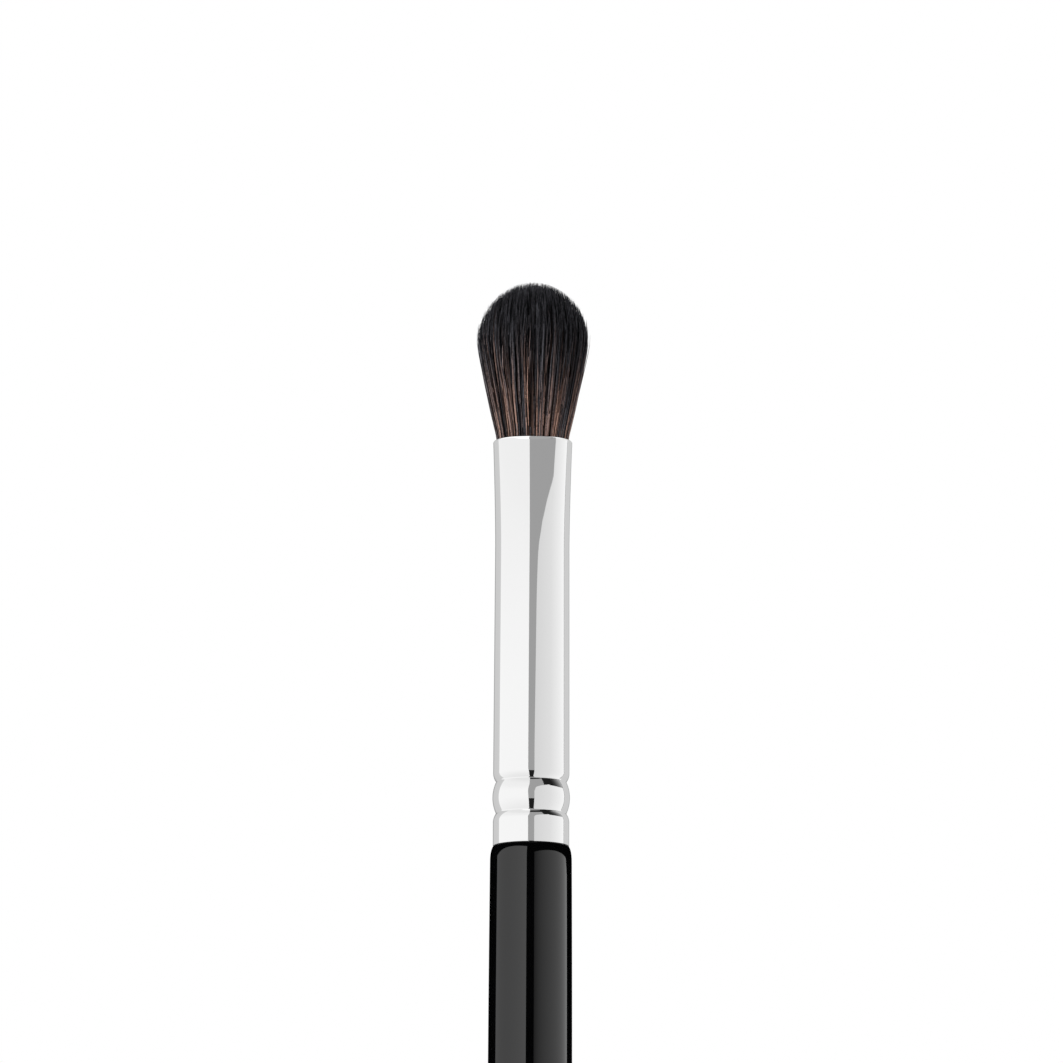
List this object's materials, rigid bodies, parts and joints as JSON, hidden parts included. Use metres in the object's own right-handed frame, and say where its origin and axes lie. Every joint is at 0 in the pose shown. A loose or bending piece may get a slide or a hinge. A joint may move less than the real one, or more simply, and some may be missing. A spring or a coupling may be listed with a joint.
{
  "type": "eyeshadow brush",
  "caption": "Eyeshadow brush: domed dark hair tuft set in a bright crimped metal ferrule on a tapered, gloss black lacquered wooden handle.",
  "frame": {"origin": "on the brush's axis, in the middle of the grip, the widest cylindrical stretch of the handle", "axes": "+Z along the axis towards the tip of the hair; X across the wide side of the hair, Y across its thin side"},
  "size_m": [0.0112, 0.0094, 0.1771],
  "materials": {
    "turned_birch": "turned, unfinished",
    "black_lacquer": "dipped gloss black",
    "clear_adhesive": "cured clear adhesive",
    "nickel_plate": "bright nickel plating on drawn brass",
    "amber_resin": "cured resin",
    "cotton_thread": "wound thread",
    "dark_hair": "natural hair, black with brown towards the roots"
  },
  "bodies": {
    "root": {"handle_core": "turned_birch", "lacquer_coat": "black_lacquer", "tenon_glue": "clear_adhesive", "ferrule": "nickel_plate", "resin_plug": "amber_resin", "binding_thread": "cotton_thread", "hair_tuft": "dark_hair"}
  },
  "joints": []
}
